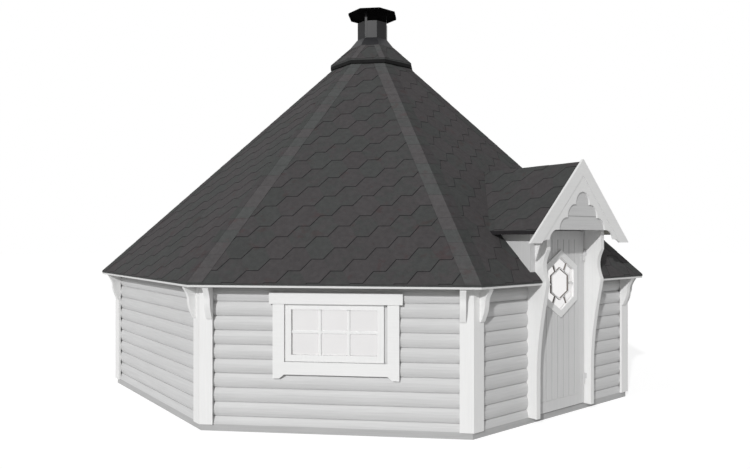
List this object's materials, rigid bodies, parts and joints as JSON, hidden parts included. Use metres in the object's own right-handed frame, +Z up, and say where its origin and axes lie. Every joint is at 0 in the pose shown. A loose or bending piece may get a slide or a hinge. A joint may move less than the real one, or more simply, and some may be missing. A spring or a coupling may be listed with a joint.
{
  "type": "octagonal grill cabin",
  "caption": "Eight-sided timber grill cabin with log walls, a steep shingle roof with smoke hood and chimney, and a gabled porch with a hinged door.",
  "frame": {"origin": "on the ground at the centre of the octagonal floor", "axes": "+Z up, the door faces -Y, +X to the right as seen from outside the door"},
  "size_m": [5.75, 5.862, 4.368],
  "materials": {
    "white_paint": "satin white paint on planed timber",
    "log_paint": "light grey paint on round-faced logs",
    "base_paint": "grey paint on sawn timber",
    "bare_wood": "bare planed spruce",
    "stained_wood": "roof boards with a dark grey stain",
    "door_paint": "grey paint on boards",
    "shingle": "bitumen shingles with mineral granules",
    "black_metal": "black coated sheet steel",
    "fittings": "dark grey steel",
    "glass": "pale obscured glass"
  },
  "bodies": {
    "cabin": {"base_frame": "base_paint", "floor_joists": "bare_wood", "floor_deck": "bare_wood", "door_walls": "log_paint", "window_walls": "log_paint", "plain_walls": "log_paint", "corner_boards": "white_paint", "eave_brackets": "white_paint", "roof_panels": "stained_wood", "roof_panel_front": "stained_wood", "roof_covering": "shingle", "hip_caps": "shingle", "eave_trim": "white_paint", "smoke_collar": "bare_wood", "hood_posts": "bare_wood", "hood_deck": "bare_wood", "hood_covering": "shingle", "hood_fascia": "black_metal", "chimney_skirt": "black_metal", "chimney_shaft": "black_metal", "cap_straps": "black_metal", "chimney_cap": "black_metal", "porch_side_boards": "white_paint", "porch_cheeks": "log_paint", "porch_deck": "stained_wood", "porch_covering": "shingle", "barge_boards": "white_paint", "scalloped_board": "white_paint", "gable_infill": "door_paint", "door_frame": "door_paint", "over_door_panel": "door_paint", "hinge_plates": "door_paint", "window_frames": "white_paint", "window_sashes": "white_paint", "window_glass": "glass", "window_casings": "white_paint"},
    "door": {"door_leaf": "door_paint", "door_window_frame": "white_paint", "door_glass": "glass", "door_hinges": "door_paint", "door_handle": "fittings"}
  },
  "joints": [
    {"name": "door_hinge", "type": "hinge", "parent": "cabin", "child": "door", "pos_m": [0.366, -2.749, 0.9], "axis": [0, 0, 1], "range_deg": [0, 90]}
  ]
}
